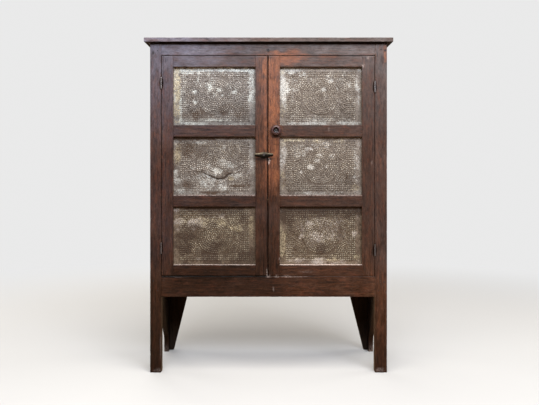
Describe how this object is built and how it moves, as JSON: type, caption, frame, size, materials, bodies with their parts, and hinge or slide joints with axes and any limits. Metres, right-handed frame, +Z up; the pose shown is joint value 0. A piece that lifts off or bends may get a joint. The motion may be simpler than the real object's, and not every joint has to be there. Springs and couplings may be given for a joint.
{
  "type": "pie safe cupboard",
  "caption": "Wooden food cupboard on tall feet, with two hinged doors of punched-tin panels, inside shelves, a knob and a turn button.",
  "frame": {"origin": "on the floor, under the middle of the whole box", "axes": "+Z up, the doors face -Y, +X is to the right as the doors are looked at"},
  "size_m": [1.039, 0.441, 1.403],
  "materials": {
    "old_finish": "worn dark red-brown varnish",
    "bare_pine": "bare, aged",
    "turned_wood": "dark, polished by hands",
    "button_wood": "dull, aged",
    "tinplate": "aged tinplate with brown rust",
    "hinge_iron": "dark, rusted",
    "screw_steel": "aged"
  },
  "bodies": {
    "root": {"back_board_left": "old_finish", "back_board_middle_left": "old_finish", "back_board_middle_right": "old_finish", "back_board_right": "old_finish", "case_bottom_rail": "old_finish", "case_floor": "bare_pine", "case_floor_cleat_left": "bare_pine", "case_floor_cleat_right": "bare_pine", "case_top_rail": "old_finish", "front_post_left": "old_finish", "front_post_right": "old_finish", "left_lower_hinge_pin": "hinge_iron", "left_lower_hinge_post_leaf": "hinge_iron", "left_upper_hinge_pin": "hinge_iron", "left_upper_hinge_post_leaf": "hinge_iron", "lower_shelf": "bare_pine", "lower_shelf_cleat_left": "bare_pine", "lower_shelf_cleat_right": "bare_pine", "right_lower_hinge_pin": "hinge_iron", "right_lower_hinge_post_leaf": "hinge_iron", "right_upper_hinge_pin": "hinge_iron", "right_upper_hinge_post_leaf": "hinge_iron", "side_board_left": "old_finish", "side_board_right": "old_finish", "top_board_front": "old_finish", "top_board_rear": "old_finish", "upper_shelf": "bare_pine", "upper_shelf_cleat_left": "bare_pine", "upper_shelf_cleat_right": "bare_pine"},
    "left_door": {"left_door_bottom_rail": "old_finish", "left_door_hinge_stile": "old_finish", "left_door_lower_rail": "old_finish", "left_door_lower_tin": "tinplate", "left_door_meeting_stile": "old_finish", "left_door_middle_tin": "tinplate", "left_door_top_rail": "old_finish", "left_door_upper_rail": "old_finish", "left_door_upper_tin": "tinplate", "left_lower_hinge_door_leaf": "hinge_iron", "left_upper_hinge_door_leaf": "hinge_iron"},
    "right_door": {"knob": "turned_wood", "knob_screw": "screw_steel", "right_door_bottom_rail": "old_finish", "right_door_hinge_stile": "old_finish", "right_door_lower_rail": "old_finish", "right_door_lower_tin": "tinplate", "right_door_meeting_stile": "old_finish", "right_door_middle_tin": "tinplate", "right_door_top_rail": "old_finish", "right_door_upper_rail": "old_finish", "right_door_upper_tin": "tinplate", "right_lower_hinge_door_leaf": "hinge_iron", "right_upper_hinge_door_leaf": "hinge_iron"},
    "turn_button": {"turn_button": "button_wood", "turn_button_screw": "screw_steel"},
    "inside_button": {"inside_button": "bare_pine", "inside_button_screw": "screw_steel"}
  },
  "joints": [
    {"name": "left_door_swing", "type": "hinge", "parent": "root", "child": "left_door", "pos_m": [-0.4501, -0.194, 0.868], "axis": [0, 0, -1], "range_deg": [0, 175]},
    {"name": "right_door_swing", "type": "hinge", "parent": "root", "child": "right_door", "pos_m": [0.4461, -0.194, 0.868], "axis": [0, 0, 1], "range_deg": [0, 175]},
    {"name": "turn_button_turn", "type": "hinge", "parent": "left_door", "child": "turn_button", "pos_m": [-0.0199, -0.1895, 0.9132], "axis": [0, -1, 0], "continuous": true},
    {"name": "inside_button_turn", "type": "hinge", "parent": "left_door", "child": "inside_button", "pos_m": [-0.12, -0.1675, 1.312], "axis": [0, -1, 0], "range_deg": [0, 90]}
  ]
}
